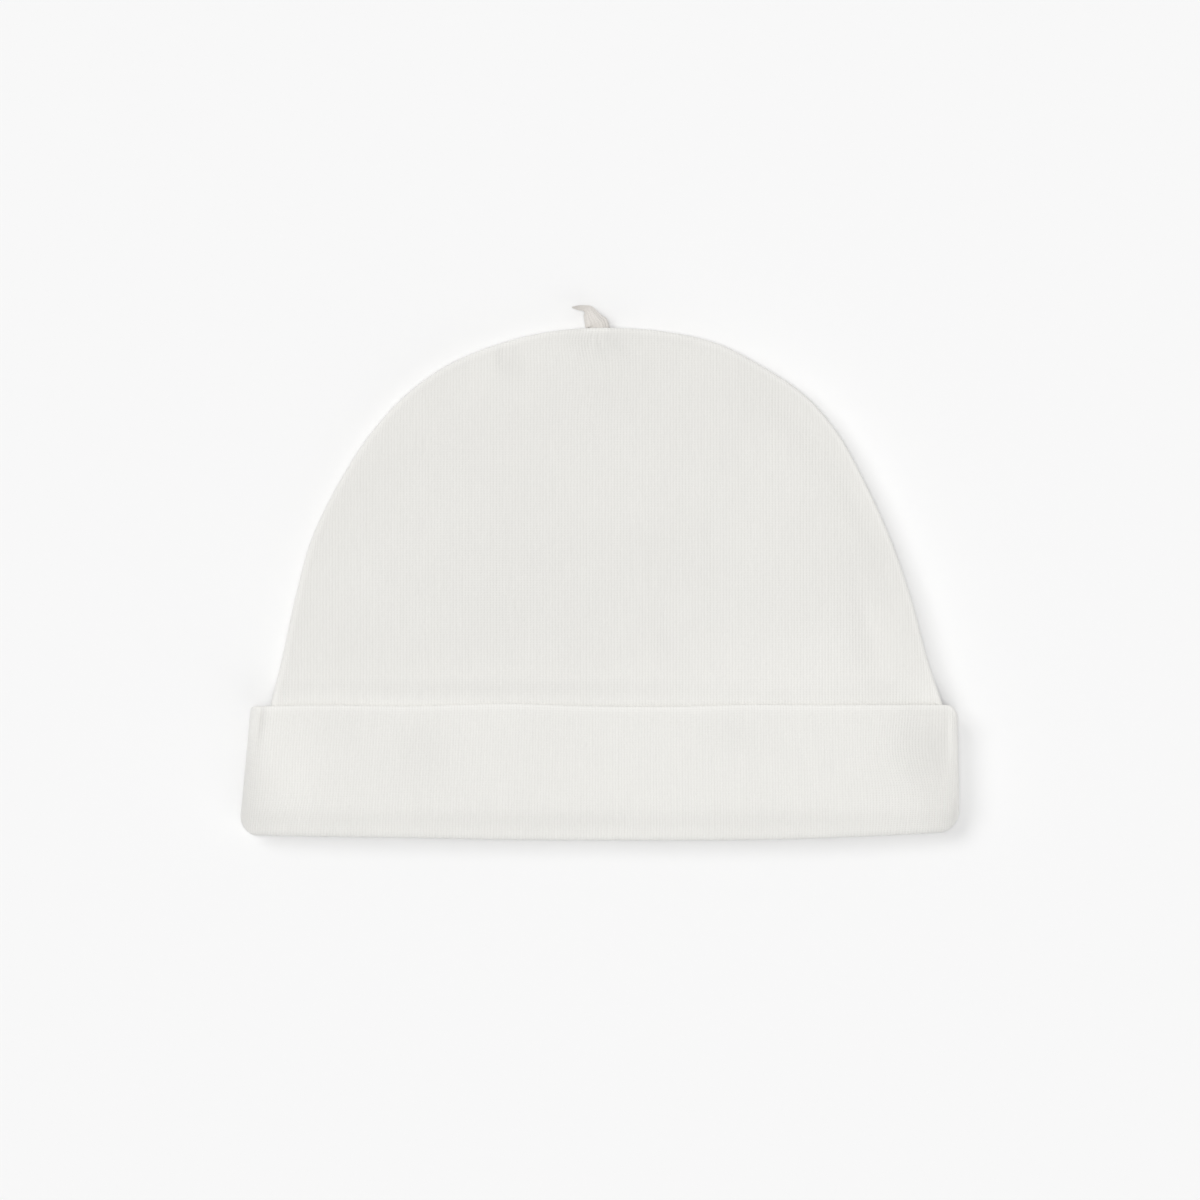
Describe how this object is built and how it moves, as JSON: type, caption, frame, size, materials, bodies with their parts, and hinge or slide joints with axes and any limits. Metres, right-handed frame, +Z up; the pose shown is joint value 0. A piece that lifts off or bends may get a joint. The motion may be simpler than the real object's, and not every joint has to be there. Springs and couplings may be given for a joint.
{
  "type": "newborn nightcap",
  "caption": "Baby's cotton nightcap lying flat: domed two-panel crown, turned-up cuff and a small curled stem at the top.",
  "frame": {"origin": "bottom centre of the cap's box, on the surface that the flat cap lies on", "axes": "+X across the cap to the right as seen from above, +Y towards the top of the dome, +Z up from the surface through the front panel"},
  "size_m": [0.1802, 0.1342, 0.0125],
  "materials": {
    "crown_cloth": "off-white cotton interlock, fine vertical wales, matt",
    "cuff_cloth": "off-white cotton interlock, reverse side, slightly grainier",
    "stem_cloth": "off-white cotton, curled raw end, slightly darker"
  },
  "bodies": {
    "root": {"crown_front": "crown_cloth", "crown_back": "crown_cloth", "cuff_front": "cuff_cloth", "cuff_back": "cuff_cloth", "stem": "stem_cloth"}
  },
  "joints": []
}
